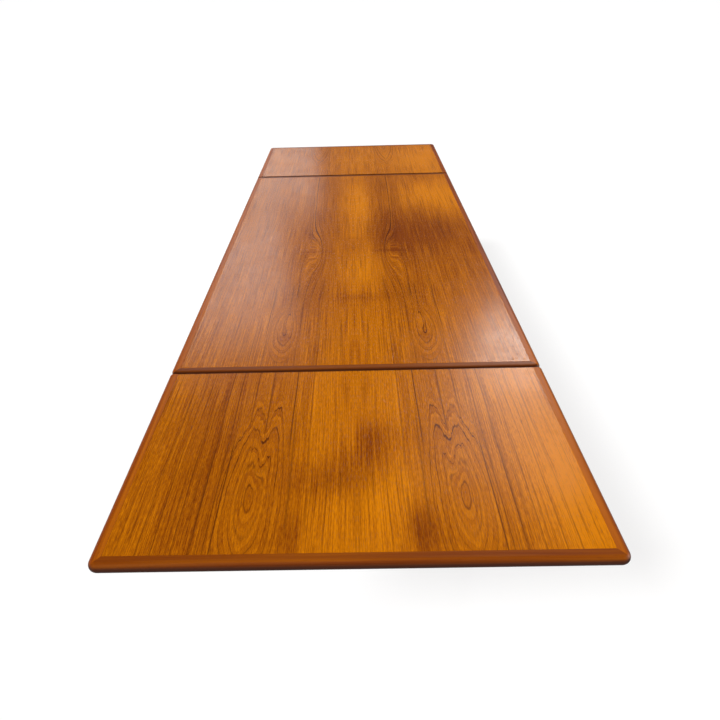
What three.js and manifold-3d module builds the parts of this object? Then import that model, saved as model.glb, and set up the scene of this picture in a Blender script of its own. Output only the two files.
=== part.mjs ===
// Drop leaf dining table: a fixed centre top on a leg-and-rail frame, with one hinged leaf at each end.
// Millimetres. X is the width, Y the length, +Z up, origin on the floor under the middle of the top.
import * as THREE from 'three';
import { mergeVertices } from 'three/addons/utils/BufferGeometryUtils.js';
import Module from 'manifold-3d';

const wasm = await Module();
wasm.setup();

// Top: one veneered centre board and two veneered leaves, all edged with solid wood.
const WIDTH = 900;
const CENTRE_LENGTH = 1500;
const LEAF_LENGTH = 510;
const HEIGHT = 735;
const THICK = 22;
const BAND = 22;
const CORNER_RADIUS = 18;
const JOINT_GAP = 2.5;
const NOSE_FLAT = 0.4;
const NOSE = (THICK - NOSE_FLAT) / 2;
const MITRE_GAP = 0.2;
const NOSE_SEGMENTS = 4;
const UNDERSIDE = HEIGHT - THICK;

// Underframe: four turned legs, two side rails, two end rails, corner blocks and cross bearers.
const LEG_X = 386;
const LEG_Y = 702;
const LEG_TOP_RADIUS = 27;
const LEG_FOOT_RADIUS = 16;
const LEG_STRAIGHT = 125;
const LEG_SEGMENTS = 28;
const GLIDE_RADIUS = 12;
const GLIDE_FOOT_RADIUS = 11;
const GLIDE_HEIGHT = 5;
const GLIDE_SEGMENTS = 24;
const RAIL_THICK = 22;
const RAIL_DEPTH = 110;
const END_RAIL_Y = 706;
const FIT_GAP = 0.3;
const OVERSHOOT = 1;
const BLOCK_LEG = 70;
const BLOCK_DEPTH = 60;
const BEARER_Y = 250;
const BEARER_WIDTH = 60;
const BEARER_DEPTH = 26;

// Leaf hinges: the knuckles sit under the joint, so a leaf swings clear of the centre's rounded edge.
const KNUCKLE_RADIUS = 4.5;
const HINGE_PIN_RADIUS = 2;
const PIN_PROUD = 1;
const HINGE_WIDTH = 60;
const HINGE_MIDDLE = 24;
const HINGE_X = 300;
const FLAP_THICK = 2.5;
const FLAP_START = 5.2;
const FIXED_FLAP = 26;
const MOVING_FLAP = 38;
const AXIS_Y = CENTRE_LENGTH / 2 + JOINT_GAP / 2;
const AXIS_Z = UNDERSIDE - KNUCKLE_RADIUS;

// Leaf stays: a strut turns on the end rail and its end pin runs in a curved slot under the leaf.
// Places in a stay are (o, z): distance out from the hinge axis, and height above it.
const STAY_X = 180;
const PIVOT_O = -16;
const PIVOT_Z = -80;
const STRUT_LENGTH = 210;
const STRUT_RISE = 71;
const LEAF_SWING = Math.PI / 2;
const STRUT_PER_LEAF = 1.2;
const STRUT_HALF_WIDTH = 8;
const STRUT_THICK = 4;
const PIN_RADIUS = 4;
const PIN_CLEARANCE = 0.3;
const SLOT_MARGIN = 6;
const SLOT_STEPS = 22;
const WEB_FROM = 5;
const WEB_THICK = 3;
const FLANGE_WIDTH = 26;
const EAR_THICK = 3.6;
const SIDE_GAP = 0.6;
const HEAD_RADIUS = 7;
const HEAD_THICK = 2.4;
const PLATE_HALF_WIDTH = 16;
const PLATE_HALF_HEIGHT = 20;
const PLATE_THICK = 2.5;
const PLATE_SEGMENTS = 10;
const KNOB_RADIUS = 10.4;
const KNOB_LOBE = 0.6;
const KNOB_LOBES = 8;
const KNOB_STEPS_PER_LOBE = 8;
const KNOB_THICK = 12;

const teak = { color: 0xb5651d, roughness: 0.4, metalness: 0 };
const edging = { color: 0x9a4f1c, roughness: 0.45, metalness: 0 };
const frameWood = { color: 0xa35a20, roughness: 0.5, metalness: 0 };
const steel = { color: 0xb9bbbd, roughness: 0.35, metalness: 1 };
const brass = { color: 0xb28f4a, roughness: 0.35, metalness: 1 };
const plastic = { color: 0x1c1b1a, roughness: 0.6, metalness: 0 };

// A three.js geometry as a solid that can be joined and cut.
function solid(geometry) {
  const plain = geometry.index ? geometry.toNonIndexed() : geometry.clone();
  plain.deleteAttribute('normal');
  plain.deleteAttribute('uv');
  const merged = mergeVertices(plain, 1e-4);
  const index = merged.index.array;
  const corners = [];
  for (let i = 0; i < index.length; i += 3) {
    const [a, b, c] = [index[i], index[i + 1], index[i + 2]];
    if (a !== b && b !== c && c !== a) corners.push(a, b, c);
  }
  return new wasm.Manifold(new wasm.Mesh({
    numProp: 3,
    vertProperties: new Float32Array(merged.attributes.position.array),
    triVerts: new Uint32Array(corners),
  }));
}

function geometryOf(body) {
  const mesh = body.getMesh();
  const geometry = new THREE.BufferGeometry();
  geometry.setAttribute('position', new THREE.BufferAttribute(new Float32Array(mesh.vertProperties), 3));
  geometry.setIndex(new THREE.BufferAttribute(new Uint32Array(mesh.triVerts), 1));
  geometry.computeVertexNormals();
  return geometry;
}

function piece(name, shape, look) {
  const geometry = shape.isBufferGeometry ? shape : geometryOf(shape);
  const mesh = new THREE.Mesh(geometry, new THREE.MeshStandardMaterial(look));
  mesh.name = name;
  return mesh;
}

function block(x0, x1, y0, y1, z0, z1) {
  const geometry = new THREE.BoxGeometry(x1 - x0, y1 - y0, z1 - z0);
  return geometry.translate((x0 + x1) / 2, (y0 + y1) / 2, (z0 + z1) / 2);
}

// An upright prism over a plan outline given as [x, y] corners.
function prism(corners, z0, z1) {
  const shape = new THREE.Shape(corners.map(([x, y]) => new THREE.Vector2(x, y)));
  const geometry = new THREE.ExtrudeGeometry(shape, { depth: z1 - z0, bevelEnabled: false });
  return geometry.translate(0, 0, z0);
}

// A slab with a half-round nose all round and rounded corners in plan.
function nosedSlab(x0, x1, y0, y1) {
  const [left, right, front, back] = [x0 + NOSE, x1 - NOSE, y0 + NOSE, y1 - NOSE];
  const r = CORNER_RADIUS - NOSE;
  const shape = new THREE.Shape();
  shape.moveTo(left + r, front);
  shape.lineTo(right - r, front);
  shape.absarc(right - r, front + r, r, -Math.PI / 2, 0, false);
  shape.lineTo(right, back - r);
  shape.absarc(right - r, back - r, r, 0, Math.PI / 2, false);
  shape.lineTo(left + r, back);
  shape.absarc(left + r, back - r, r, Math.PI / 2, Math.PI, false);
  shape.lineTo(left, front + r);
  shape.absarc(left + r, front + r, r, Math.PI, 1.5 * Math.PI, false);
  const geometry = new THREE.ExtrudeGeometry(shape, {
    depth: NOSE_FLAT,
    bevelEnabled: true,
    bevelThickness: NOSE,
    bevelSize: NOSE,
    bevelSegments: NOSE_SEGMENTS,
    curveSegments: NOSE_SEGMENTS,
  });
  return geometry.translate(0, 0, UNDERSIDE + NOSE);
}

const sideName = (x) => (x < 0 ? 'left' : 'right');
const endName = (y) => (y < 0 ? 'near' : 'far');

function makeCentreTop() {
  const group = new THREE.Group();
  const [hx, hy] = [WIDTH / 2, CENTRE_LENGTH / 2];
  const [ix, iy] = [hx - BAND, hy - BAND];
  const [ox, oy] = [ix + 2 * BAND, iy + 2 * BAND];
  const slab = solid(nosedSlab(-hx, hx, -hy, hy));
  group.add(piece('centre_panel', block(-ix, ix, -iy, iy, UNDERSIDE, HEIGHT), teak));
  for (const s of [-1, 1]) {
    const [ym, yo] = [iy - MITRE_GAP, oy - MITRE_GAP];
    const side = prism([[s * ix, -ym], [s * ix, ym], [s * ox, yo], [s * ox, -yo]], 0, HEIGHT + THICK);
    const end = prism([[-ix, s * iy], [ix, s * iy], [ox, s * oy], [-ox, s * oy]], 0, HEIGHT + THICK);
    group.add(piece(`centre_${sideName(s)}_edge`, slab.intersect(solid(side)), edging));
    group.add(piece(`centre_${endName(s)}_edge`, slab.intersect(solid(end)), edging));
  }
  return group;
}

// One leaf, drawn at the far end. Its inner edge is square and unedged.
function makeLeaf(end, turned) {
  const group = new THREE.Group();
  const hx = WIDTH / 2;
  const ix = hx - BAND;
  const ox = ix + 2 * BAND;
  const inner = CENTRE_LENGTH / 2 + JOINT_GAP;
  const outer = inner + LEAF_LENGTH;
  const iy = outer - BAND;
  const oy = iy + 2 * BAND;
  const slab = solid(nosedSlab(-hx, hx, inner - 2 * BAND, outer));
  group.add(piece(`${end}_leaf_panel`, block(-ix, ix, inner, iy, UNDERSIDE, HEIGHT), teak));
  for (const s of [-1, 1]) {
    const [ym, yo] = [iy - MITRE_GAP, oy - MITRE_GAP];
    const side = prism([[s * ix, inner], [s * ix, ym], [s * ox, yo], [s * ox, inner]], 0, HEIGHT + THICK);
    group.add(piece(`${end}_leaf_${sideName(s * turned)}_edge`, slab.intersect(solid(side)), edging));
  }
  const cap = prism([[-ix, iy], [ix, iy], [ox, oy], [-ox, oy]], 0, HEIGHT + THICK);
  group.add(piece(`${end}_leaf_end_edge`, slab.intersect(solid(cap)), edging));
  return group;
}

// A turned leg on its own axis, with an allowance added all round.
function legGeometry(allowance) {
  const profile = [
    [0, GLIDE_HEIGHT],
    [LEG_FOOT_RADIUS + allowance, GLIDE_HEIGHT],
    [LEG_TOP_RADIUS + allowance, UNDERSIDE - LEG_STRAIGHT],
    [LEG_TOP_RADIUS + allowance, UNDERSIDE],
    [0, UNDERSIDE],
  ];
  const points = profile.map(([r, h]) => new THREE.Vector2(r, h));
  return new THREE.LatheGeometry(points, LEG_SEGMENTS).rotateX(Math.PI / 2);
}

function makeUnderframe() {
  const group = new THREE.Group();
  const railFoot = UNDERSIDE - RAIL_DEPTH;
  const half = RAIL_THICK / 2;
  let legs = null;
  for (const sx of [-1, 1]) {
    for (const sy of [-1, 1]) {
      const corner = `${endName(sy)}_${sideName(sx)}`;
      const [x, y] = [sx * LEG_X, sy * LEG_Y];
      group.add(piece(`leg_${corner}`, solid(legGeometry(0).translate(x, y, 0)), frameWood));
      const room = solid(legGeometry(FIT_GAP).translate(x, y, 0));
      legs = legs ? legs.add(room) : room;
      const glide = new THREE.CylinderGeometry(GLIDE_RADIUS, GLIDE_FOOT_RADIUS, GLIDE_HEIGHT, GLIDE_SEGMENTS);
      glide.rotateX(Math.PI / 2).translate(x, y, GLIDE_HEIGHT / 2);
      group.add(piece(`glide_${corner}`, solid(glide), plastic));
      const near = [sx * (LEG_X - half - FIT_GAP), sy * (END_RAIL_Y - half - FIT_GAP)];
      const triangle = [
        [near[0], near[1]],
        [near[0] - sx * BLOCK_LEG, near[1]],
        [near[0], near[1] - sy * BLOCK_LEG],
      ];
      const top = UNDERSIDE - RAIL_DEPTH / 2 + BLOCK_DEPTH / 2;
      const wedge = solid(prism(triangle, top - BLOCK_DEPTH, top)).subtract(room);
      group.add(piece(`corner_block_${corner}`, wedge, frameWood));
    }
  }
  for (const s of [-1, 1]) {
    const x = s * LEG_X;
    const y = s * END_RAIL_Y;
    const sideRail = block(x - half, x + half, -LEG_Y, LEG_Y, railFoot, UNDERSIDE);
    const endRail = block(-LEG_X, LEG_X, y - half, y + half, railFoot, UNDERSIDE);
    group.add(piece(`side_rail_${sideName(s)}`, solid(sideRail).subtract(legs), frameWood));
    group.add(piece(`end_rail_${endName(s)}`, solid(endRail).subtract(legs), frameWood));
    const reach = LEG_X - half;
    const bearer = block(-reach, reach, s * BEARER_Y - BEARER_WIDTH / 2, s * BEARER_Y + BEARER_WIDTH / 2,
      UNDERSIDE - BEARER_DEPTH, UNDERSIDE);
    group.add(piece(`cross_bearer_${endName(s)}`, bearer, frameWood));
  }
  return group;
}

// A shape drawn in the (o, z) plane of a hinge axis and thickened along X.
function sidePlate(shape, x0, x1) {
  const depth = Math.abs(x1 - x0);
  const geometry = new THREE.ExtrudeGeometry(shape, { depth, bevelEnabled: false, curveSegments: PLATE_SEGMENTS });
  const toSide = new THREE.Matrix4().set(
    0, 0, 1, Math.min(x0, x1),
    1, 0, 0, AXIS_Y,
    0, 1, 0, AXIS_Z,
    0, 0, 0, 1,
  );
  return solid(geometry.applyMatrix4(toSide));
}

function disc(o, z, radius, x0, x1) {
  const shape = new THREE.Shape();
  shape.absarc(o, z, radius, 0, 2 * Math.PI, false);
  return sidePlate(shape, x0, x1);
}

// The outline of a round-ended bar whose middle follows a list of points.
function barAlong(path, radius) {
  const last = path.length - 1;
  const along = (i) => path[Math.min(i + 1, last)].clone().sub(path[Math.max(i - 1, 0)]).normalize();
  const ends = { start: along(0).angle(), finish: along(last).angle() };
  const shape = new THREE.Shape();
  const quarter = Math.PI / 2;
  const [from, to] = [path[0], path[last]];
  shape.absarc(from.x, from.y, radius, ends.start + quarter, ends.start + 3 * quarter, false);
  for (let i = 1; i < last; i += 1) {
    const t = along(i);
    shape.lineTo(path[i].x + radius * t.y, path[i].y - radius * t.x);
  }
  shape.absarc(to.x, to.y, radius, ends.finish - quarter, ends.finish + quarter, false);
  for (let i = last - 1; i > 0; i -= 1) {
    const t = along(i);
    shape.lineTo(path[i].x - radius * t.y, path[i].y + radius * t.x);
  }
  return shape;
}

const strutRestAngle = Math.asin(STRUT_RISE / STRUT_LENGTH);

// Where the strut's end pin is, seen from the leaf, once the leaf has swung down by an angle.
function pinInLeaf(swing) {
  const strutAngle = strutRestAngle - STRUT_PER_LEAF * swing;
  const o = PIVOT_O + STRUT_LENGTH * Math.cos(strutAngle);
  const z = PIVOT_Z + STRUT_LENGTH * Math.sin(strutAngle);
  return new THREE.Vector2(o, z).rotateAround(new THREE.Vector2(0, 0), swing);
}

function makeHinge(name, x) {
  const group = new THREE.Group();
  const half = HINGE_WIDTH / 2;
  const middle = HINGE_MIDDLE / 2;
  const plateFoot = UNDERSIDE - FLAP_THICK;
  const knuckle = (x0, x1) => disc(0, 0, KNUCKLE_RADIUS, x0, x1);
  const bore = disc(0, 0, HINGE_PIN_RADIUS + FIT_GAP, x - 2 * half, x + 2 * half);
  let fixed = solid(block(x - half, x + half, AXIS_Y - FLAP_START - FIXED_FLAP, AXIS_Y - FLAP_START,
    plateFoot, UNDERSIDE));
  for (const [x0, x1] of [[x - half, x - middle - FIT_GAP], [x + middle + FIT_GAP, x + half]]) {
    const web = solid(block(x0, x1, AXIS_Y - FLAP_START, AXIS_Y, plateFoot, UNDERSIDE));
    fixed = fixed.add(web).add(knuckle(x0, x1));
  }
  const plate = block(x - half, x + half, AXIS_Y + FLAP_START, AXIS_Y + FLAP_START + MOVING_FLAP,
    plateFoot, UNDERSIDE);
  const web = block(x - middle, x + middle, AXIS_Y, AXIS_Y + FLAP_START, plateFoot, UNDERSIDE);
  const moving = solid(plate).add(solid(web)).add(knuckle(x - middle, x + middle));
  group.add(piece(`${name}_fixed_flap`, fixed.subtract(bore), brass));
  group.add(piece(`${name}_leaf_flap`, moving.subtract(bore), brass));
  group.add(piece(`${name}_pin`, disc(0, 0, HINGE_PIN_RADIUS, x - half - PIN_PROUD, x + half + PIN_PROUD), brass));
  return group;
}

// One stay. Sideways places count from the strut's inner face, away from the table's middle line.
function makeStay(name, side) {
  const group = new THREE.Group();
  const at = (u) => side * (STAY_X + u);
  const pivot = new THREE.Vector2(PIVOT_O, PIVOT_Z);
  const pinRest = pinInLeaf(0);
  const path = [];
  for (let i = 0; i <= SLOT_STEPS; i += 1) path.push(pinInLeaf((LEAF_SWING * i) / SLOT_STEPS));

  const railFace = END_RAIL_Y + RAIL_THICK / 2;
  const pivotHeight = AXIS_Z + PIVOT_Z;
  const base = solid(block(...[at(-PLATE_HALF_WIDTH), at(PLATE_HALF_WIDTH)].sort((a, b) => a - b),
    railFace, railFace + PLATE_THICK, pivotHeight - PLATE_HALF_HEIGHT, pivotHeight + PLATE_HALF_HEIGHT));
  const root = new THREE.Vector2(railFace + PLATE_THICK / 2 - AXIS_Y, PIVOT_Z);
  const ear = new THREE.Shape();
  ear.moveTo(root.x, root.y - STRUT_HALF_WIDTH);
  ear.absarc(pivot.x, pivot.y, STRUT_HALF_WIDTH, -Math.PI / 2, Math.PI / 2, false);
  ear.lineTo(root.x, root.y + STRUT_HALF_WIDTH);
  const headInner = STRUT_THICK + SIDE_GAP;
  const bracket = base
    .add(sidePlate(ear, at(-SIDE_GAP - EAR_THICK), at(-SIDE_GAP)))
    .add(disc(pivot.x, pivot.y, PIN_RADIUS, at(-SIDE_GAP - EAR_THICK / 2), at(headInner + OVERSHOOT)))
    .add(disc(pivot.x, pivot.y, HEAD_RADIUS, at(headInner), at(headInner + HEAD_THICK)));
  group.add(piece(`${name}_bracket`, bracket, steel));

  const eye = PIN_RADIUS + PIN_CLEARANCE;
  const strut = sidePlate(barAlong([pivot, pinRest], STRUT_HALF_WIDTH), at(0), at(STRUT_THICK))
    .subtract(disc(pivot.x, pivot.y, eye, at(-OVERSHOOT), at(STRUT_THICK + OVERSHOOT)))
    .subtract(disc(pinRest.x, pinRest.y, eye, at(-OVERSHOOT), at(STRUT_THICK + OVERSHOOT)));
  group.add(piece(`${name}_strut`, strut, steel));

  const webEnd = WEB_FROM + WEB_THICK;
  const [first, last] = [path[0].x - eye - SLOT_MARGIN, path[SLOT_STEPS].x + eye + SLOT_MARGIN];
  const flange = solid(block(...[at(WEB_FROM), at(WEB_FROM + FLANGE_WIDTH)].sort((a, b) => a - b),
    AXIS_Y + first, AXIS_Y + last, UNDERSIDE - FLAP_THICK, UNDERSIDE));
  const head = solid(block(...[at(WEB_FROM), at(webEnd)].sort((a, b) => a - b),
    AXIS_Y + first, AXIS_Y + last, AXIS_Z + path[0].y, UNDERSIDE));
  const plate = sidePlate(barAlong(path, eye + SLOT_MARGIN), at(WEB_FROM), at(webEnd))
    .add(head)
    .add(flange)
    .subtract(sidePlate(barAlong(path, eye), at(WEB_FROM - OVERSHOOT), at(webEnd + OVERSHOOT)));
  group.add(piece(`${name}_slot_plate`, plate, steel));

  const lobed = new THREE.Shape();
  const steps = KNOB_LOBES * KNOB_STEPS_PER_LOBE;
  for (let i = 0; i < steps; i += 1) {
    const angle = (2 * Math.PI * i) / steps;
    const r = KNOB_RADIUS + KNOB_LOBE * Math.cos(KNOB_LOBES * angle);
    lobed[i ? 'lineTo' : 'moveTo'](pinRest.x + r * Math.cos(angle), pinRest.y + r * Math.sin(angle));
  }
  const [pinX, pinZ] = [pinRest.x, pinRest.y];
  const knobHead = webEnd + SIDE_GAP;
  const knob = sidePlate(lobed, at(-SIDE_GAP - KNOB_THICK), at(-SIDE_GAP))
    .add(disc(pinX, pinZ, PIN_RADIUS, at(-SIDE_GAP - OVERSHOOT), at(knobHead + OVERSHOOT)))
    .add(disc(pinX, pinZ, HEAD_RADIUS, at(knobHead), at(knobHead + HEAD_THICK)));
  group.add(piece(`${name}_clamp_knob`, knob, plastic));
  return group;
}

// Everything at one end of the table, drawn at the far end and turned half a turn for the near end.
function makeEnd(end) {
  const group = new THREE.Group();
  const turned = end === 'near' ? -1 : 1;
  group.add(makeLeaf(end, turned));
  for (const s of [-1, 1]) {
    const side = sideName(s * turned);
    group.add(makeHinge(`${end}_${side}_hinge`, s * HINGE_X));
    group.add(makeStay(`${end}_${side}_stay`, s));
  }
  group.rotation.z = end === 'near' ? Math.PI : 0;
  return group;
}

const table = new THREE.Group();
table.add(makeCentreTop());
table.add(makeUnderframe());
for (const end of ['near', 'far']) table.add(makeEnd(end));

export default table;
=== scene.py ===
"""Drop leaf table: the visual model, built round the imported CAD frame. Metres, +Z up."""
import math
import random

import bmesh
import bpy
from mathutils import Matrix, Vector


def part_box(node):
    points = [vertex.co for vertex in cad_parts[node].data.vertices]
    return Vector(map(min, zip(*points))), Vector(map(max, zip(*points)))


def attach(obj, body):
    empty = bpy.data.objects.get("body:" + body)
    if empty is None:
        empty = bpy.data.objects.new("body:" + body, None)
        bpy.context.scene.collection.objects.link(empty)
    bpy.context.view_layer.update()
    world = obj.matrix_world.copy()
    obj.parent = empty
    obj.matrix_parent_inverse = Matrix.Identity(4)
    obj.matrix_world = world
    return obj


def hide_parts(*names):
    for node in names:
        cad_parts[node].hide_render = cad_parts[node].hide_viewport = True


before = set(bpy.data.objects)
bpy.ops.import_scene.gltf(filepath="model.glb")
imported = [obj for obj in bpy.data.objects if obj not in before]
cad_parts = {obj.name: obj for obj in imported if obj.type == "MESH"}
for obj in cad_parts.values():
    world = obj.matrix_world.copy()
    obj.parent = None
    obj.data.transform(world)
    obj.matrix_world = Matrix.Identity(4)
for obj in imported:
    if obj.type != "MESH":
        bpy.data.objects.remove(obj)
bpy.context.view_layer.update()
random.seed(7)

# Camera: above one end of the table, looking down its length.
EYE = Vector((0.0054, -1.7353, 1.5056))
LOOK_DOWN = math.radians(36.913)
LOOK_RIGHT = math.radians(-0.807)
TILT = math.radians(1.614)
LENS = 25.89
SENSOR = 36.0
SHIFT = 0.012
FAR_CLIP = 200.0

# Driving places, read from the frame.
PANEL_LOW, PANEL_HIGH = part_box("centre_panel")
TOP = PANEL_HIGH.z
UNDERSIDE = PANEL_LOW.z
THICK = TOP - UNDERSIDE
HALF_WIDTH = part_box("centre_right_edge")[1].x
CENTRE_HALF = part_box("centre_far_edge")[1].y
BAND = CENTRE_HALF - PANEL_HIGH.y
LEAF_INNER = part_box("far_leaf_panel")[0].y
LEAF_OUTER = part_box("far_leaf_end_edge")[1].y
SIDES = (("left", -1), ("right", 1))
ENDS = (("near", -1), ("far", 1))

# The top: its rounded corners and noses, and the fine V where a board meets its edge band.
CORNER_RADIUS = 0.018
NOSE = THICK / 2
SEAM = 0.00035
NOSE_STEPS = 28
CORNER_STEPS = 8
ROW_SPACING = 0.10

# The underframe: a leg tapers below its straight top, and every edge is softened.
LEG_STRAIGHT = 0.125
FOOT_SHARE = 16 / 27
LEG_SWELL = 0.0012
LEG_STEPS = 24
RAIL_SOFTENING = 0.002
BEARER_SOFTENING = 0.0025

# Screws. All fittings are sheet of one thickness, and the two head sizes are radii. A hinge's rows are
# measured outward from its axis, a bracket's screws from its middle. A slot plate's screws stand in its
# flange, at shares of its length and a little outside its middle.
SHEET = 0.0025
WOOD_SCREW = 0.0034
BRACKET_SCREW = 0.0030
HINGE_SCREW_PITCH = 0.022
HINGE_SCREW_ROWS = {"fixed": -0.018, "leaf": 0.024}
BRACKET_SCREW_X, BRACKET_SCREW_Z = 0.0115, 0.015
SLOT_PLATE_SHARES = (0.08, 0.5, 0.92)
FLANGE_SHIFT = 0.0015


# ---------------------------------------------------------------- mesh helpers

def make_object(name, bm, materials, sharp=35):
    """A finished mesh object from a bmesh, with sharp edges wherever faces meet at more than an angle
    in degrees. The angle counts on smooth faces only, so all are smooth first. Faces square to an axis
    are then made flat, so that a softened edge doesn't bend the whole board's gloss."""
    bmesh.ops.recalc_face_normals(bm, faces=bm.faces)
    mesh = bpy.data.meshes.new(name)
    bm.to_mesh(mesh)
    bm.free()
    for polygon in mesh.polygons:
        polygon.use_smooth = True
    mesh.set_sharp_from_angle(angle=math.radians(sharp))
    for polygon in mesh.polygons:
        polygon.use_smooth = max(abs(c) for c in polygon.normal) < 0.9999
    for material in materials:
        mesh.materials.append(material)
    ob = bpy.data.objects.new(name, mesh)
    bpy.context.scene.collection.objects.link(ob)
    return ob


def settle(ob, body, nodes=()):
    """Puts a piece on its body, in place of the CAD nodes that it redraws."""
    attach(ob, body)
    if nodes:
        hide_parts(*nodes)


def bevelled_block(bm, low, high, width, segments=3):
    """A box with every edge rounded off."""
    size = [high[i] - low[i] for i in range(3)]
    middle = [(high[i] + low[i]) / 2 for i in range(3)]
    verts = bmesh.ops.create_cube(bm, size=1.0)["verts"]
    bmesh.ops.scale(bm, vec=size, verts=verts)
    bmesh.ops.translate(bm, vec=middle, verts=verts)
    edges = list({e for v in verts for e in v.link_edges})
    bmesh.ops.bevel(bm, geom=edges, offset=width, segments=segments, profile=0.5, affect="EDGES")


def lathe(bm, profile, centre, segments=48):
    """Turns a profile of (radius, height) points round the upright through a centre."""
    rings = []
    for radius, height in profile:
        ring = []
        for k in range(1 if radius < 1e-6 else segments):
            angle = 2 * math.pi * k / segments
            across = Vector((radius * math.cos(angle), radius * math.sin(angle), height))
            ring.append(bm.verts.new(centre + across))
        rings.append(ring)
    for a, b in zip(rings, rings[1:]):
        for k in range(segments):
            quad = [a[k % len(a)], a[(k + 1) % len(a)], b[(k + 1) % len(b)], b[k % len(b)]]
            corners = list(dict.fromkeys(quad))
            if len(corners) > 2:
                bm.faces.new(corners)


# ---------------------------------------------------------------- node helpers

class Nodes:
    """Short calls for one material's nodes."""

    def __init__(self, name):
        self.material = bpy.data.materials.new(name)
        self.material.use_nodes = True
        self.tree = self.material.node_tree
        self.tree.nodes.clear()
        self.output = self.tree.nodes.new("ShaderNodeOutputMaterial")
        self.shader = self.tree.nodes.new("ShaderNodeBsdfPrincipled")
        self.link(self.shader.outputs[0], self.output.inputs["Surface"])

    def link(self, a, b):
        self.tree.links.new(a, b)

    def put(self, socket, value):
        if hasattr(value, "is_output"):
            self.link(value, socket)
        else:
            socket.default_value = value

    def math(self, operation, a, b=0.0, c=0.0):
        node = self.tree.nodes.new("ShaderNodeMath")
        node.operation = operation
        for socket, value in zip(node.inputs, (a, b, c)):
            self.put(socket, value)
        return node.outputs[0]

    def plus(self, first, *others):
        for other in others:
            first = self.math("ADD", first, other)
        return first

    def times(self, first, *others):
        for other in others:
            first = self.math("MULTIPLY", first, other)
        return first

    def minus(self, a, b):
        return self.math("SUBTRACT", a, b)

    def sway(self, value, noise, amount):
        """The value, moved both ways by a noise that is 0.5 on average."""
        return self.plus(value, self.times(self.minus(noise, 0.5), amount))

    def place(self):
        node = self.tree.nodes.new("ShaderNodeTexCoord")
        split = self.tree.nodes.new("ShaderNodeSeparateXYZ")
        self.link(node.outputs["Object"], split.inputs[0])
        return split.outputs

    def join(self, x, y, z):
        node = self.tree.nodes.new("ShaderNodeCombineXYZ")
        for socket, value in zip(node.inputs, (x, y, z)):
            self.put(socket, value)
        return node.outputs[0]

    def noise(self, vector, scale, detail=2.0, rough=0.5):
        node = self.tree.nodes.new("ShaderNodeTexNoise")
        self.link(vector, node.inputs["Vector"])
        node.inputs["Scale"].default_value = scale
        node.inputs["Detail"].default_value = detail
        node.inputs["Roughness"].default_value = rough
        return node.outputs["Fac"]

    def noise_along(self, value, scale, detail):
        """Noise over one value only."""
        node = self.tree.nodes.new("ShaderNodeTexNoise")
        node.noise_dimensions = "1D"
        self.link(value, node.inputs["W"])
        node.inputs["Scale"].default_value = scale
        node.inputs["Detail"].default_value = detail
        node.inputs["Roughness"].default_value = 0.5
        return node.outputs["Fac"]

    def ramp(self, value, stops, interpolation="LINEAR"):
        """A colour ramp, whose stops are (position, colour) or (position, grey)."""
        node = self.tree.nodes.new("ShaderNodeValToRGB")
        self.link(value, node.inputs[0])
        node.color_ramp.interpolation = interpolation
        elements = node.color_ramp.elements
        while len(elements) < len(stops):
            elements.new(0.5)
        for element, (position, colour) in zip(elements, stops):
            element.position = position
            grey = not hasattr(colour, "__len__")
            element.color = (colour,) * 3 + (1,) if grey else tuple(colour) + (1,)
        return node.outputs[0]

    def mix(self, factor, a, b):
        node = self.tree.nodes.new("ShaderNodeMix")
        node.data_type = "RGBA"
        colour_inputs = [s for s in node.inputs if s.type == "RGBA"]
        self.put(node.inputs[0], factor)
        for socket, value in zip(colour_inputs, (a, b)):
            self.put(socket, tuple(value) + (1,) if isinstance(value, (tuple, list)) else value)
        return [s for s in node.outputs if s.type == "RGBA"][0]

    def step(self, value, low, high):
        """0 below low, 1 above high, smooth between."""
        node = self.tree.nodes.new("ShaderNodeMapRange")
        node.interpolation_type = "SMOOTHSTEP"
        self.put(node.inputs["Value"], value)
        self.put(node.inputs["From Min"], low)
        self.put(node.inputs["From Max"], high)
        return node.outputs[0]

    def fall(self, value, low, high):
        """1 below low, 0 above high, smooth between."""
        return self.minus(1.0, self.step(value, low, high))

    def bell(self, value, middle, width):
        """A smooth bump of height 1 over one coordinate: exp(-((value-middle)/width)^2)."""
        offset = self.math("DIVIDE", self.minus(value, middle), width)
        return self.math("EXPONENT", self.times(offset, offset, -1.0))

    def streaks(self, across, along, seed, across_scale, along_scale, detail, rough=0.6):
        """Noise drawn out along the grain."""
        place = self.join(self.times(across, across_scale), self.times(along, along_scale), seed)
        return self.noise(place, 1.0, detail, rough)

    def finish(self, colour, roughness, height=None, strength=0.1, distance=0.001, plain=None):
        self.put(self.shader.inputs["Base Color"], colour)
        self.put(self.shader.inputs["Roughness"], roughness)
        for name, value in (plain or {}).items():
            self.shader.inputs[name].default_value = value
        if height is not None:
            bump = self.tree.nodes.new("ShaderNodeBump")
            bump.inputs["Strength"].default_value = strength
            bump.inputs["Distance"].default_value = distance
            self.link(height, bump.inputs["Height"])
            self.link(bump.outputs[0], self.shader.inputs["Normal"])
        return self.material


# ---------------------------------------------------------------- veneer

# Colours of the oiled teak, darkest line to palest stripe, as linear light.
LINE = (0.075, 0.013, 0.0010)
DARK = (0.210, 0.042, 0.0006)
MIDDLE = (0.400, 0.108, 0.0006)
GOLD = (0.660, 0.205, 0.0010)
# Painted shade, for the bands' noses and the joints.
PAINTED_SHADE = tuple(0.5 * c for c in LINE)
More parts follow.
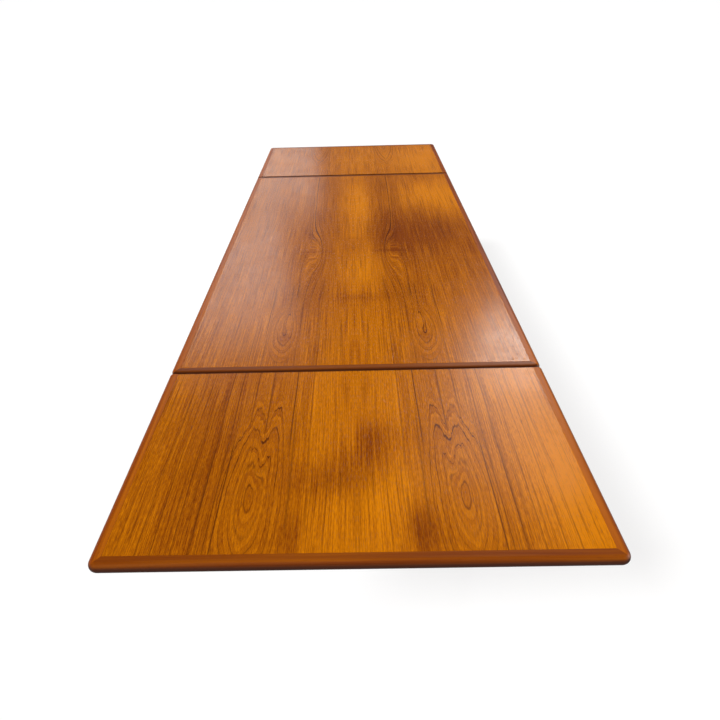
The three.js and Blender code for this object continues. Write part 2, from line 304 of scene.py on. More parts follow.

# Solid teak, each as its darkest, middle and palest: side bands, leaf end bands, centre end bands,
# underframe. The end bands' palettes are darker than the side bands': partly the teak's own tone, partly
# painted shade on the bands that face the table's ends, the centre's the darkest.
SIDE_TEAK = ((0.130, 0.018, 0.0005), (0.300, 0.062, 0.0005), (0.460, 0.120, 0.0008))
LEAF_END_TEAK = ((0.085, 0.011, 0.0005), (0.190, 0.036, 0.0005), (0.300, 0.074, 0.0008))
CENTRE_END_TEAK = ((0.060, 0.010, 0.0008), (0.135, 0.027, 0.0010), (0.230, 0.055, 0.0015))
FRAME_TEAK = ((0.180, 0.042, 0.0030), (0.330, 0.100, 0.0100), (0.500, 0.180, 0.0220))

# Where the colours stand on their ramps, for veneer and for a solid palette.
VENEER_STOPS = ((0.10, DARK), (0.44, MIDDLE), (0.84, GOLD))
SOLID_STOPS = (0.34, 0.50, 0.68)

# How far each layer of the veneer's grain moves its colour along the ramp from dark to gold.
THIN_GRAIN = 1.30
BROAD_GRAIN = 0.42
HAIR_GRAIN = 0.95
CLOUDS = 0.18
LATE_WOOD = 0.20

# How much of the colour each dark mark covers.
THREADS = 0.50
FINE_LINES = 0.36
GROWTH_LINES = 0.92
PORES = 0.42
SOLID_PORES = 0.35
# Painted shade along the leaves' inner edges, at the joints.
JOINT_SHADE = 0.75

# The width of the long dark lines and of the painted shade at a joint, and how softly the lines' ends fade.
LINE_WIDTH = 0.0013
JOINT_SHADE_WIDTH = 0.0022
LINE_FADE = 0.04

# The veneer's layers of noise: (scale across the grain, scale along it, detail). Larger is finer.
WANDER_LAYER = (5.0, 2.0, 2.0)
TEAR_LAYER = (75.0, 9.0, 3.0)
RIPPLE_LAYER = (34.0, 14.0, 2.0)
BREAK_LAYER = (22.0, 11.0, 2.0)
THIN_LAYER = (460.0, 6.5, 3.0)
BROAD_LAYER = (60.0, 0.9, 1.0)
HAIR_LAYER = (640.0, 75.0, 2.0)
PORE_LAYER = (900.0, 55.0, 2.0)
THREAD_LAYER = (210.0, 1.1, 1.0)
FINE_LAYER = (300.0, 4.0, 1.0)
CLOUD_LAYER = (3.4, 2.6, 3.0)

# Where a mark starts in its own noise, and where it is full.
PORE_STEP = (0.56, 0.70)
SOLID_PORE_STEP = (0.60, 0.72)
THREAD_STEP = (0.64, 0.72)
THREADED_STEP = (0.40, 0.62)
FINE_STEP = (0.58, 0.66)
BREAK_STEP = (0.36, 0.56)
STRENGTH_STEP = (0.22, 0.42)
GROWTH_LINE_EDGE = (0.02, 0.085)

# How far the grain wanders and the rings ripple, in metres.
WANDER = 0.016
RIPPLE = 0.009

# Painted shade round a band's nose: (the height that it starts below, over how much height). The centre's end
# bands, at the joints, have it sooner.
NOSE_DARKENING = (TOP - 0.0001, 0.0075)
JOINT_DARKENING = (TOP, 0.0020)

# Bump as (strength, depth in metres), and a duller reflection than bare plastic's.
WOOD_BUMP = (0.22, 0.0004)
WOOD_GLOSS = {"Specular IOR Level": 0.40}


def rings_round_hearts(n, across, y, hearts, wobble):
    """Distance from the nearest growth-ring heart. Each heart is (place across, place along,
    narrowness): its rings are ellipses 1/narrowness times as long as they are wide."""
    field = None
    for place_across, place_along, narrow in hearts:
        du = n.minus(across, place_across)
        dy = n.times(n.plus(n.minus(y, place_along), wobble), narrow)
        reach = n.math("SQRT", n.plus(n.times(du, du), n.times(dy, dy)))
        field = reach if field is None else n.math("SMOOTH_MIN", field, reach, 0.03)
    return field


def veneer_material(name, figure, seed):
    """Book-matched teak veneer, mirrored about the middle of the top. The note over FIGURES says what
    the figure's entries mean."""
    n = Nodes(name)
    x, y, _ = n.place()
    across = n.math("ABSOLUTE", x)

    # The grain wanders a little, and leans where the figure says.
    bent = n.sway(across, n.streaks(across, y, seed, *WANDER_LAYER, 0.5), WANDER)
    for amount, middle, width, at_across, spread in figure["leans"]:
        lean = n.times(n.bell(y, middle, width), n.bell(across, at_across, spread))
        bent = n.plus(bent, n.times(lean, amount))

    # The flames: rings round a heart, with jagged tips on the side that the figure says.
    jag = n.streaks(across, y, seed + 3.0, *TEAR_LAYER)
    jags = n.times(n.minus(jag, 0.5), figure["jag"])
    for tip_across, width, rise in figure["tips"]:
        jags = n.plus(jags, n.times(n.bell(across, tip_across, width), -rise))
    jags = n.times(jags, n.step(y, *figure["tip_side"]))
    field = rings_round_hearts(n, bent, y, figure["hearts"], jags)
    field = n.sway(field, n.streaks(across, y, seed + 5.0, *RIPPLE_LAYER, 0.5), RIPPLE)
    flame = n.fall(field, *figure["flame"])

    # Growth lines in the flames: thin and dark on one side, shading off on the other.
    rings = n.plus(n.times(field, figure["rings"]), n.times(n.noise_along(field, 45.0, 1.0), 1.3))
    phase = n.math("FRACT", rings)
    late = n.fall(n.math("ABSOLUTE", n.minus(phase, 0.5)), *GROWTH_LINE_EDGE)
    strength = n.step(n.noise_along(rings, 0.9, 0.0), *STRENGTH_STEP)
    gaps = n.step(n.streaks(x, y, seed + 8.0, *BREAK_LAYER), *BREAK_STEP)
    broken = n.plus(0.5, n.times(gaps, 0.5))
    crowded = n.plus(1.0 - figure["crowd"], n.times(n.step(y, *figure["tip_side"]), figure["crowd"]))
    line = n.times(n.times(late, strength), n.times(flame, broken), crowded)
    shade = n.times(n.minus(phase, 0.5), flame, LATE_WOOD)

    # Long dark lines that run straight down the boards.
    for at_across, low, high, dark in figure["lines"]:
        ends = n.times(n.step(y, low - LINE_FADE, low + LINE_FADE),
                       n.fall(y, high - LINE_FADE, high + LINE_FADE))
        thread = n.times(n.bell(bent, at_across, LINE_WIDTH), ends, dark)
        line = n.math("MAXIMUM", line, thread)

    # Straight grain outside the flames, grain that follows the rings inside them.
    def grain(across_scale, along_scale, detail, shift):
        straight = n.streaks(bent, y, seed + shift, across_scale * figure["fineness"], along_scale, detail)
        curved = n.streaks(field, y, seed + shift + 0.5, across_scale * 0.8, along_scale * 1.6, detail)
        calm = n.sway(0.5, curved, 0.45)
        return n.plus(straight, n.times(n.minus(calm, straight), flame))

    thin = grain(*THIN_LAYER, 0.0)
    broad = grain(*BROAD_LAYER, 9.0)
    hair = n.streaks(bent, y, seed, *HAIR_LAYER)
    pores = n.step(n.streaks(across, y, seed, *PORE_LAYER, 0.7), *PORE_STEP)
    threads = n.step(n.streaks(bent, y, seed + 4.0, *THREAD_LAYER), *THREAD_STEP)
    threads = n.times(threads, n.step(broad, *THREADED_STEP))
    fine = n.step(grain(*FINE_LAYER, 6.0), *FINE_STEP)

    # Colour from all of them, with the boards and the broad areas of the figure, some of which are painted
    # light and shade.
    value = n.ramp(n.math("DIVIDE", across, HALF_WIDTH), figure["boards"], "EASE")
    value = n.sway(value, thin, THIN_GRAIN)
    value = n.sway(value, broad, BROAD_GRAIN)
    value = n.sway(value, hair, HAIR_GRAIN)
    value = n.plus(value, shade)
    value = n.sway(value, n.streaks(x, y, seed + 21.0, *CLOUD_LAYER, 0.5), CLOUDS)
    for at_x, at_y, wide, long, amount, *cut in figure["areas"]:
        area = n.times(n.bell(x, at_x, wide), n.bell(y, at_y, long))
        if cut:
            area = n.times(area, n.math("GREATER_THAN", x, 0.0))
        value = n.plus(value, n.times(area, amount))
    colour = n.ramp(value, VENEER_STOPS)
    for mark, cover in ((threads, THREADS), (fine, FINE_LINES), (line, GROWTH_LINES), (pores, PORES)):
        colour = n.mix(n.times(mark, cover), colour, LINE)
    # Painted shade: a dark line along the leaf's inner edge, where the joint with the centre lies in shade.
    if figure["joint"] is not None:
        joint_line_shade = n.bell(y, figure["joint"], JOINT_SHADE_WIDTH)
        colour = n.mix(n.times(joint_line_shade, JOINT_SHADE), colour, PAINTED_SHADE)

    # Satin oil: slightly patchy gloss, and open pores that break it up.
    patches = n.noise(n.join(x, y, seed), 11.0, 5.0, 0.65)
    rough = n.plus(0.10, n.times(patches, 0.22))
    rough = n.plus(rough, n.times(pores, 0.14))
    height = n.minus(n.plus(n.times(thin, 0.6), n.times(hair, 0.5)), pores)
    return n.finish(colour, rough, height, *WOOD_BUMP, WOOD_GLOSS)


# The figure of each panel. Places across are the same on both sides of the middle seam, except in areas.
#   hearts     the middles of the growth rings: (place across, place along, narrowness)
#   rings      growth lines per metre from a heart, and flame: where they fade out from it
#   jag, tips  how torn the rings' ends are, and where they reach out: (place across, width, length)
#   tip_side   where along the panel the tearing starts and is full
#   crowd      how much fainter the growth lines are away from the tips
#   fineness   the scale of the straight grain across itself
#   joint      the inner edge that gets painted shade at the joint, or None
#   leans      where the grain bows out: (how far, place along, length, place across, width)
#   lines      long dark lines: (place across, start, end, darkness)
#   boards     how pale the veneer is across the half width, from the middle out
#   areas      darker or paler areas, some of them painted light and shade: (x, y, half width, half length,
#              how much), and a last RIGHT_ONLY for one that is cut off at the middle seam
RIGHT_ONLY = True
FIGURES = {
    "near_leaf": {
        "rings": 84.0, "jag": 0.080, "flame": (0.056, 0.080), "hearts": [(0.199, -1.130, 0.26)],
        "tips": [(0.164, 0.016, 0.065), (0.188, 0.009, -0.040), (0.216, 0.012, 0.025)],
        "tip_side": (-1.16, -1.03), "crowd": 0.45, "fineness": 1.0, "joint": -LEAF_INNER, "leans": [],
        "lines": [(0.190, -0.96, -0.70, 0.8), (0.134, -1.00, -0.70, 0.9), (0.127, -1.20, -0.90, 0.7),
                  (0.252, -1.30, -0.98, 0.9), (0.263, -1.30, -0.70, 0.6), (0.286, -1.30, -0.70, 0.6),
                  (0.316, -1.30, -0.90, 0.5), (0.350, -1.30, -0.70, 0.5), (0.374, -1.30, -0.70, 0.4),
                  (0.096, -1.05, -0.70, 0.5), (0.226, -0.95, -0.70, 0.6)],
        "boards": [(0.0, 0.62), (0.20, 0.60), (0.27, 0.48), (0.42, 0.44), (0.54, 0.46), (0.60, 0.36),
                   (0.74, 0.38), (0.79, 0.50), (0.95, 0.52)],
        # Painted light: the paler areas at x 0.33 to 0.39 on the right are painted light, and the darker one
        # at x -0.38 on the left is painted shade.
        "areas": [(0.39, -1.12, 0.11, 0.20, 0.28), (0.33, -0.84, 0.10, 0.12, 0.20),
                  (-0.38, -1.0, 0.12, 0.25, -0.12), (-0.05, -1.09, 0.09, 0.045, -0.27),
                  (0.03, -0.975, 0.06, 0.050, -0.32, RIGHT_ONLY), (0.01, -1.035, 0.06, 0.040, -0.22),
                  (0.06, -1.12, 0.10, 0.07, 0.14), (0.34, -1.05, 0.14, 0.20, 0.10),
                  (0.115, -1.20, 0.03, 0.06, -0.40), (-0.120, -1.21, 0.02, 0.05, -0.22)]},
    "centre": {
        "rings": 90.0, "jag": 0.055, "flame": (0.030, 0.052), "hearts": [(0.186, -0.575, 0.30)],
        "tips": [(0.184, 0.010, 0.110)],
        "tip_side": (-0.60, -0.50), "crowd": 0.0, "fineness": 0.8, "joint": None,
        "leans": [(0.044, -0.09, 0.20, 0.115, 0.036)],
        "lines": [(0.151, -0.09, 0.80, 1.0), (0.140, -0.09, 0.20, 0.6), (0.128, -0.42, 0.02, 0.6),
                  (0.120, 0.10, 0.70, 0.5), (0.160, -0.10, 0.28, 0.5), (0.170, -0.40, -0.09, 0.5),
                  (0.184, -0.44, -0.32, 0.9), (0.146, -0.60, -0.30, 0.7), (0.100, -0.75, 0.10, 0.4),
                  (0.232, -0.75, 0.75, 0.4), (0.265, -0.75, 0.40, 0.3), (0.330, -0.30, 0.75, 0.3)],
        "boards": [(0.0, 0.52), (0.10, 0.54), (0.18, 0.44), (0.36, 0.38), (0.50, 0.42), (0.64, 0.40),
                   (0.80, 0.42), (0.95, 0.44)],
        "areas": [(0.24, 0.06, 0.22, 0.20, -0.26), (0.12, 0.02, 0.09, 0.12, -0.12, RIGHT_ONLY),
                  (0.0, -0.05, 0.06, 0.10, -0.14), (0.0, -0.40, 0.12, 0.30, -0.13),
                  (0.03, 0.32, 0.05, 0.30, 0.34), (0.36, 0.46, 0.15, 0.20, 0.50),
                  (0.03, -0.20, 0.07, 0.22, 0.26), (0.02, -0.40, 0.08, 0.025, -0.16),
                  (0.12, -0.085, 0.05, 0.012, -0.22), (-0.12, -0.085, 0.05, 0.012, -0.12),
                  (0.08, -0.60, 0.20, 0.12, 0.10),
                  (0.186, -0.605, 0.014, 0.018, -0.25), (-0.186, -0.605, 0.014, 0.018, -0.25)]},
    "far_leaf": {
        "rings": 100.0, "jag": 0.040, "flame": (0.045, 0.075), "hearts": [(0.172, 1.27, 0.16)],
        "tips": [(0.172, 0.012, -0.050)],
        "tip_side": (0.70, 0.71), "crowd": 0.0, "fineness": 0.65, "joint": LEAF_INNER, "leans": [],
        "lines": [(0.120, 0.70, 1.30, 0.6), (0.232, 0.70, 1.30, 0.6), (0.290, 0.70, 1.30, 0.4)],
        "boards": [(0.0, 0.52), (0.20, 0.46), (0.36, 0.40), (0.60, 0.42), (0.80, 0.50), (0.95, 0.50)],
        "areas": [(0.33, 0.98, 0.18, 0.30, 0.40), (0.0, 1.00, 0.20, 0.30, 0.14)]},
}


# ---------------------------------------------------------------- solid teak, metal and plastic

def solid_teak(name, axis, palette, dark_below=None, dark_span=None):
    """Solid teak with its grain along one axis: 0 for X, 1 for Y, 2 for Z. An edge band gets painted shade
    round its nose over dark_span below the height dark_below, where the nose turns under, away from the
    light."""
    n = Nodes(name)
    place = list(n.place())
    along = place.pop(axis)
    a, b = place

    def drawn_out(first, scale, along_scale, detail, rough=0.5):
        return n.noise(n.join(n.times(first, scale), n.times(b, scale), n.times(along, along_scale)),
                       1.0, detail, rough)

    bent = n.sway(a, drawn_out(a, 6.0, 1.4, 2.0), 0.03)
    streak = drawn_out(bent, 150.0, 2.0, 4.0, 0.62)
    broad = drawn_out(bent, 32.0, 0.9, 3.0, 0.55)
    pores = n.step(drawn_out(a, 800.0, 40.0, 2.0, 0.7), *SOLID_PORE_STEP)
    value = n.plus(n.times(streak, 0.5), n.times(broad, 0.5))
    colour = n.ramp(value, list(zip(SOLID_STOPS, palette)))
    colour = n.mix(n.times(pores, SOLID_PORES), colour, LINE)
    # Painted shade round the nose, below dark_below, and weaker towards the underside.
    if dark_below is not None:
        z = n.place()[2]
        under = n.fall(z, dark_below - dark_span, dark_below)
        faded = n.plus(0.25, n.times(n.step(z, UNDERSIDE + 0.001, TOP - NOSE), 0.65))
        colour = n.mix(n.times(under, faded), colour, PAINTED_SHADE)
    rough = n.plus(0.32, n.times(streak, 0.16))
    height = n.minus(n.times(streak, 0.6), pores)
    return n.finish(colour, rough, height, *WOOD_BUMP, WOOD_GLOSS)


def metal(name, base, dark, roughness):
    """Plated or cast metal with fine brushing and dulled patches."""
    n = Nodes(name)
    x, y, z = n.place()
    brushed = n.noise(n.join(n.times(x, 3.0), n.times(y, 0.4), n.times(z, 3.0)), 360.0, 3.0, 0.6)
    patch = n.noise(n.join(x, y, z), 60.0, 4.0, 0.6)
    colour = n.mix(n.step(patch, 0.42, 0.70), base, dark)
    rough = n.plus(roughness, n.times(patch, 0.22))
    return n.finish(colour, rough, brushed, 0.15, 0.0002, {"Metallic": 1.0})


def moulded(name, base):
    """Moulded plastic with a fine grained skin."""
    n = Nodes(name)
    x, y, z = n.place()
    skin = n.noise(n.join(x, y, z), 900.0, 2.0, 0.6)
    patch = n.noise(n.join(x, y, z), 90.0, 3.0, 0.5)
    colour = n.mix(n.step(patch, 0.4, 0.75), base, tuple(c * 2.2 for c in base))
    rough = n.plus(0.48, n.times(patch, 0.2))
    return n.finish(colour, rough, skin, 0.25, 0.0002)


veneers = {name: veneer_material("veneer_" + name, figure, 11.0 * k)
           for k, (name, figure) in enumerate(FIGURES.items())}
edging_x = solid_teak("edging_across", 0, LEAF_END_TEAK, *NOSE_DARKENING)
edging_y = solid_teak("edging_along", 1, SIDE_TEAK, *NOSE_DARKENING)
end_edging = solid_teak("edging_centre_ends", 0, CENTRE_END_TEAK, *JOINT_DARKENING)
frame_x = solid_teak("frame_teak_across", 0, FRAME_TEAK)
frame_y = solid_teak("frame_teak_along", 1, FRAME_TEAK)
frame_z = solid_teak("frame_teak_upright", 2, FRAME_TEAK)
steel = metal("zinc_plated_steel", (0.56, 0.56, 0.55), (0.33, 0.33, 0.32), 0.26)
brass = metal("aged_brass", (0.62, 0.43, 0.17), (0.36, 0.23, 0.09), 0.28)
knob_plastic = moulded("knob_plastic", (0.018, 0.017, 0.016))
glide_plastic = moulded("glide_plastic", (0.030, 0.026, 0.022))


# ---------------------------------------------------------------- the top

def nose_section():
    """The band's section as (distance in from the outer edge, height above the underside): along the
    top face from the seam, round the nose, and back along the underside."""
    section = [(BAND, THICK - SEAM), (BAND - SEAM, THICK), (BAND * 0.78, THICK), (NOSE, THICK)]
    for k in range(1, NOSE_STEPS):
        angle = math.pi / 2 - math.pi * k / NOSE_STEPS
        section.append((NOSE - NOSE * math.cos(angle), NOSE + NOSE * math.sin(angle)))
    section += [(NOSE, 0.0), (BAND - SEAM, 0.0), (BAND, SEAM)]
    return section


def turned(centre, direction, inner):
    """A station of a band at a rounded corner, from the distance inward to the place in plan: it runs
    to the corner's centre, and on from there to the mitre's inner end."""
    def place(inward):
        if inward <= CORNER_RADIUS:
            return centre + direction * (CORNER_RADIUS - inward)
        return centre.lerp(inner, (inward - CORNER_RADIUS) / (BAND - CORNER_RADIUS))
    return place


def band(name, start, finish, outward, mitres, material):
    """One edge band. start and finish are the ends of its outer edge in plan, outward its outward
    direction, and mitres says at which ends it turns a rounded corner and is mitred."""
    along = (finish - start).normalized()
    length = (finish - start).length

    def square(at):
        return lambda inward: start + along * at - outward * inward

    def half_corner(at, sign, inner_at):
        """The stations round half a corner, from the straight towards the mitre."""
        centre = start + along * at - outward * CORNER_RADIUS
        inner = start + along * inner_at - outward * BAND
        angles = [math.radians(45) * k / CORNER_STEPS for k in range(CORNER_STEPS + 1)]
        return [turned(centre, outward * math.cos(angle) + along * sign * math.sin(angle), inner)
                for angle in angles]

    low, high = (BAND if mitres[0] else 0.0), (length - BAND if mitres[1] else length)
    rows_along = max(2, int(length / ROW_SPACING))
    stations = [square(low + (high - low) * k / rows_along) for k in range(rows_along)] + [square(high)]
    if mitres[0]:
        stations = half_corner(CORNER_RADIUS, -1, BAND)[::-1] + stations
    if mitres[1]:
        stations += half_corner(length - CORNER_RADIUS, 1, length - BAND)

    bm = bmesh.new()
    section = nose_section()
    rows = []
    for station in stations:
        row = []
        for inward, height in section:
            at = station(inward)
            row.append(bm.verts.new((at.x, at.y, UNDERSIDE + height)))
        rows.append(row)
    count = len(section)
    for a, b in zip(rows, rows[1:]):
        for k in range(count):
            bm.faces.new((a[k], a[(k + 1) % count], b[(k + 1) % count], b[k]))
    bm.faces.new(rows[0])
    bm.faces.new(list(reversed(rows[-1])))
    bmesh.ops.remove_doubles(bm, verts=bm.verts, dist=1e-6)
    return make_object(name, bm, [material], 30)


def panel(name, node, material, back):
    """A veneered board: figured veneer on top, plain veneer below."""
    low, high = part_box(node)
    bm = bmesh.new()
    bevelled_block(bm, low, high, SEAM, 2)
    for face in bm.faces:
        if face.normal.z < -0.5:
            face.material_index = 1
    return make_object(name, bm, [material, back], 30)


def build_top():
    centre = panel("centre_board", "centre_panel", veneers["centre"], frame_y)
    settle(centre, "base", ["centre_panel"])
    corners = {(sx, sy): Vector((sx * HALF_WIDTH, sy * CENTRE_HALF, 0)) for _, sx in SIDES for _, sy in ENDS}
    for side, s in SIDES:
        ob = band(f"centre_{side}_band", corners[s, -1], corners[s, 1], Vector((s, 0, 0)), (1, 1), edging_y)
        settle(ob, "base", [f"centre_{side}_edge"])
    for end, s in ENDS:
        ob = band(f"centre_{end}_band", corners[-1, s], corners[1, s], Vector((0, s, 0)), (1, 1), end_edging)
        settle(ob, "base", [f"centre_{end}_edge"])
    for end, s in ENDS:
        leaf = f"{end}_leaf"
        board = panel(f"{leaf}_board", f"{leaf}_panel", veneers[leaf], frame_y)
        settle(board, leaf, [f"{leaf}_panel"])
        for side, t in SIDES:
            inner = Vector((t * HALF_WIDTH, s * LEAF_INNER, 0))
            outer = Vector((t * HALF_WIDTH, s * LEAF_OUTER, 0))
            ob = band(f"{leaf}_{side}_band", inner, outer, Vector((t, 0, 0)), (0, 1), edging_y)
            settle(ob, leaf, [f"{leaf}_{side}_edge"])
        left = Vector((-HALF_WIDTH, s * LEAF_OUTER, 0))
        right = Vector((HALF_WIDTH, s * LEAF_OUTER, 0))
        ob = band(f"{leaf}_end_band", left, right, Vector((0, s, 0)), (1, 1), edging_x)
        settle(ob, leaf, [f"{leaf}_end_edge"])


# ---------------------------------------------------------------- the underframe

def plan_middle(low, high):
    return Vector(((low.x + high.x) / 2, (low.y + high.y) / 2, 0))


def softened_foot(radius, base, inset, rise):
    """The start of a turned profile: the middle of its base, then out and up round its lower edge."""
    kink = 0.0008
    return [(0.0, base), (radius - inset, base), (radius - kink, base + kink), (radius, base + rise)]


def build_leg(node):
    low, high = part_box(node)
    top_radius = (high.x - low.x) / 2
    foot_radius = top_radius * FOOT_SHARE
    rise = 0.003
    round_over = 0.001
    profile = softened_foot(foot_radius, low.z, 0.0025, rise)
    taper = high.z - LEG_STRAIGHT - low.z - rise
    for k in range(1, LEG_STEPS + 1):
        share = k / LEG_STEPS
        swell = LEG_SWELL * math.sin(math.pi * share)
        radius = foot_radius + (top_radius - foot_radius) * share + swell
        profile.append((radius, low.z + rise + taper * share))
    profile += [(top_radius, high.z - round_over), (top_radius - round_over, high.z), (0.0, high.z)]
    bm = bmesh.new()
    lathe(bm, profile, plan_middle(low, high))
    settle(make_object(node + "_turned", bm, [frame_z], 40), "base", [node])


def build_glide(node):
    low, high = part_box(node)
    radius = (high.x - low.x) / 2
    bm = bmesh.new()
    profile = softened_foot(radius, 0.0, 0.0022, 0.0024) + [(radius, high.z), (0.0, high.z)]
    lathe(bm, profile, plan_middle(low, high))
    settle(make_object(node + "_disc", bm, [glide_plastic], 40), "base", [node])


def build_timber(node, suffix, material, softening):
    low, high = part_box(node)
    bm = bmesh.new()
    bevelled_block(bm, low, high, softening)
    settle(make_object(node + suffix, bm, [material], 40), "base", [node])


def build_underframe():
    for end, _ in ENDS:
        for side, _ in SIDES:
            build_leg(f"leg_{end}_{side}")
            build_glide(f"glide_{end}_{side}")
    for side, _ in SIDES:
        build_timber(f"side_rail_{side}", "_board", frame_y, RAIL_SOFTENING)
    for end, _ in ENDS:
        build_timber(f"end_rail_{end}", "_board", frame_x, RAIL_SOFTENING)
    for end, _ in ENDS:
        build_timber(f"cross_bearer_{end}", "_batten", frame_x, BEARER_SOFTENING)


def screw_heads(name, places, facing, radius, material):
    """Slotted screw heads, each two raised halves with the slot between, standing on a plate."""
    bm = bmesh.new()
    facing = Vector(facing)
    first = facing.orthogonal().normalized()
    second = facing.cross(first)
    sunk, rim, crown, slot_half = -0.0004, 0.0002, 0.0008, 0.00045
    crown_radius = radius * 0.72
    arc = 12
    for place in places:
        spin = random.uniform(0, math.pi)
        for half in (0, math.pi):
            rows = []
            for reach, height in ((radius, sunk), (radius, rim), (crown_radius, crown)):
                gap = math.asin(slot_half / reach)
                row = []
                for k in range(arc + 1):
                    angle = gap + (math.pi - 2 * gap) * k / arc + half + spin
                    across = (first * math.cos(angle) + second * math.sin(angle)) * reach
                    row.append(bm.verts.new(Vector(place) + across + facing * height))
                rows.append(row)
            for a, b in zip(rows, rows[1:]):
                for k in range(arc):
                    bm.faces.new((a[k], a[k + 1], b[k + 1], b[k]))
            bm.faces.new(rows[2])
            bm.faces.new(list(reversed(rows[0])))
            bm.faces.new([row[0] for row in rows] + [row[-1] for row in reversed(rows)])
    return make_object(name, bm, [material], 30)


def build_hinge_screws(hinge, s, leaf):
    low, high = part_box(f"{hinge}_pin")
    middle = plan_middle(low, high)
    for flap, body in (("fixed", "base"), ("leaf", leaf)):
        row_y = middle.y + s * HINGE_SCREW_ROWS[flap]
        places = [(middle.x + dx, row_y, UNDERSIDE - SHEET)
                  for dx in (-HINGE_SCREW_PITCH, 0.0, HINGE_SCREW_PITCH)]
        screws = screw_heads(f"{hinge}_{flap}_screws", places, (0, 0, -1), WOOD_SCREW, brass)
        settle(screws, body)


def build_stay_screws(stay, s, leaf, rail_face):
    low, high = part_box(f"{stay}_bracket")
    middle_x, middle_z = (low.x + high.x) / 2, (low.z + high.z) / 2
    places = [(middle_x + dx, s * (rail_face + SHEET), middle_z + dz)
              for dx in (-BRACKET_SCREW_X, BRACKET_SCREW_X) for dz in (-BRACKET_SCREW_Z, BRACKET_SCREW_Z)]
    screws = screw_heads(f"{stay}_bracket_screws", places, (0, s, 0), BRACKET_SCREW, steel)
    settle(screws, "base")
    low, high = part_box(f"{stay}_slot_plate")
    flange_x = (low.x + high.x) / 2 + (FLANGE_SHIFT if high.x > 0 else -FLANGE_SHIFT)
    places = [(flange_x, low.y + (high.y - low.y) * share, UNDERSIDE - SHEET) for share in SLOT_PLATE_SHARES]
    screws = screw_heads(f"{stay}_plate_screws", places, (0, 0, -1), WOOD_SCREW, steel)
    settle(screws, leaf)


def build_screws():
    for end, s in ENDS:
        rail_low, rail_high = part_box(f"end_rail_{end}")
        rail_face = max(abs(rail_low.y), abs(rail_high.y))
        for side, _ in SIDES:
            build_hinge_screws(f"{end}_{side}_hinge", s, f"{end}_leaf")
            build_stay_screws(f"{end}_{side}_stay", s, f"{end}_leaf", rail_face)


def finish_carried_nodes():
    """Materials for the CAD nodes whose own shapes stay."""
    for name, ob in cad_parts.items():
        if ob.hide_render:
            continue
        look = frame_y
        if "hinge" in name:
            look = brass
        elif "clamp_knob" in name:
            look = knob_plastic
        elif "stay" in name:
            look = steel
        ob.data.materials.clear()
        ob.data.materials.append(look)


# ---------------------------------------------------------------- stage, light and camera

# The studio wall: its brightness against the sine of the height above the horizon.
WALL_STOPS = ((-0.10, 0.24), (-0.06, 0.24), (-0.03, 0.85), (0.05, 0.80), (0.19, 0.09), (0.60, 0.04))
FLOOR_HALF = 60.0
FLOOR_GLOW = 0.775

# Broad diffuse lights: (name, direction, power, spread in degrees).
SUNS = (("studio_key", (0.76, 0.52, -1.0), 3.3, 12),
        ("studio_fill", (0.30, 0.60, -1.0), 0.5, 40))

# Softboxes: (name, place, what it faces, size, watts, colour).
SOFTBOXES = (("softbox_window", (-1.90, 4.77, 3.55), (-0.35, -0.3, 0.735), (1.9, 1.7), 24, (0.90, 0.95, 1.0)),
             ("softbox_far", (-1.16, 6.85, 2.64), (-0.3, 0.7, 0.735), (1.2, 1.2), 6, (0.95, 0.97, 1.0)),
             ("softbox_right", (1.64, 2.10, 3.49), (0.35, -0.8, 0.735), (1.4, 1.5), 15, (1.0, 0.92, 0.84)),
             ("softbox_corner", (1.66, 2.61, 3.11), (0.42, -0.62, 0.735), (0.7, 0.6), 12, (1.0, 0.95, 0.90)),
             ("softbox_edge", (4.2, -1.2, 1.6), (0.4, -0.8, 0.7), (1.0, 2.4), 45, (1.0, 0.86, 0.80)))


def build_stage():
    bm = bmesh.new()
    bmesh.ops.create_grid(bm, x_segments=8, y_segments=8, size=FLOOR_HALF)
    n = Nodes("studio_floor")
    x, y, z = n.place()
    colour = n.mix(n.noise(n.join(x, y, z), 3.0, 2.0), (0.23, 0.23, 0.23), (0.25, 0.25, 0.25))
    glow = {"Emission Color": (1, 1, 1, 1), "Emission Strength": FLOOR_GLOW, "Specular IOR Level": 0.0}
    n.finish(colour, 0.9, plain=glow)
    floor = make_object("studio_floor", bm, [n.material])
    floor.visible_diffuse = False
    floor.visible_glossy = False


def softbox(name, place, target, size, watts, colour):
    data = bpy.data.lights.new(name, "AREA")
    data.shape = "RECTANGLE"
    data.size, data.size_y = size
    data.energy = watts
    data.color = colour
    ob = bpy.data.objects.new(name, data)
    bpy.context.scene.collection.objects.link(ob)
    ob.location = place
    ob.rotation_euler = (Vector(target) - Vector(place)).to_track_quat("-Z", "Y").to_euler()


def sun(name, towards, power, spread):
    """A broad diffuse light. Gloss doesn't see it, so it leaves no veil on the wood."""
    data = bpy.data.lights.new(name, "SUN")
    data.energy = power
    data.angle = math.radians(spread)
    ob = bpy.data.objects.new(name, data)
    bpy.context.scene.collection.objects.link(ob)
    ob.rotation_euler = Vector(towards).to_track_quat("-Z", "Y").to_euler()
    ob.visible_glossy = False


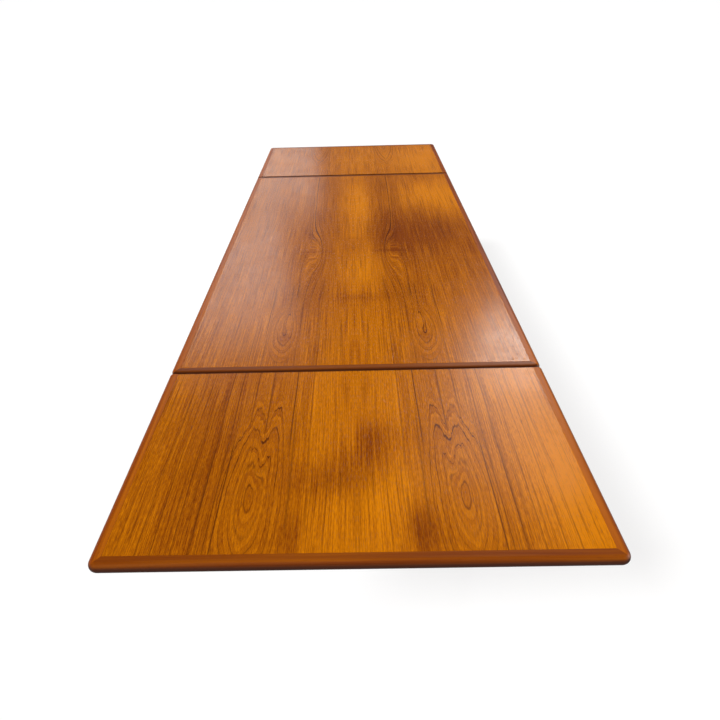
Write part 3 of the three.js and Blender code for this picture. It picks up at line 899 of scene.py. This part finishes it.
def build_world():
    """A pale studio: a light wall low round the horizon, dim above, so that gloss shows the softboxes."""
    world = bpy.data.worlds.new("studio")
    bpy.context.scene.world = world
    world.use_nodes = True
    tree = world.node_tree
    place = tree.nodes.new("ShaderNodeTexCoord")
    split = tree.nodes.new("ShaderNodeSeparateXYZ")
    tree.links.new(place.outputs["Generated"], split.inputs[0])
    lowest = WALL_STOPS[0][0]
    highest = WALL_STOPS[-1][0]
    height = tree.nodes.new("ShaderNodeMapRange")
    height.inputs["From Min"].default_value = lowest
    height.inputs["From Max"].default_value = highest
    tree.links.new(split.outputs[2], height.inputs["Value"])
    ramp = tree.nodes.new("ShaderNodeValToRGB")
    ramp.color_ramp.interpolation = "EASE"
    elements = ramp.color_ramp.elements
    while len(elements) < len(WALL_STOPS):
        elements.new(0.5)
    for element, (at, level) in zip(elements, WALL_STOPS):
        element.position = (at - lowest) / (highest - lowest)
        element.color = (level, level, level, 1.0)
    tree.links.new(height.outputs[0], ramp.inputs[0])
    tree.links.new(ramp.outputs[0], tree.nodes["Background"].inputs[0])
    tree.nodes["Background"].inputs[1].default_value = 1.0


def build_light():
    build_world()
    for details in SUNS:
        sun(*details)
    for details in SOFTBOXES:
        softbox(*details)


def build_camera():
    data = bpy.data.cameras.new("camera")
    data.lens = LENS
    data.sensor_width = SENSOR
    data.shift_x = SHIFT
    data.clip_end = FAR_CLIP
    camera = bpy.data.objects.new("camera", data)
    bpy.context.scene.collection.objects.link(camera)
    forward = Vector((math.sin(LOOK_RIGHT) * math.cos(LOOK_DOWN), math.cos(LOOK_RIGHT) * math.cos(LOOK_DOWN),
                      -math.sin(LOOK_DOWN)))
    right = Vector((math.cos(LOOK_RIGHT), -math.sin(LOOK_RIGHT), 0))
    up = right.cross(forward)
    tilted_right = right * math.cos(TILT) - up * math.sin(TILT)
    tilted_up = up * math.cos(TILT) + right * math.sin(TILT)
    turn = Matrix((tilted_right, tilted_up, -forward)).transposed()
    camera.matrix_world = Matrix.Translation(EYE) @ turn.to_4x4()
    bpy.context.scene.camera = camera


bpy.context.scene.view_settings.view_transform = "Standard"
build_top()
build_underframe()
build_screws()
finish_carried_nodes()
build_stage()
build_light()
build_camera()
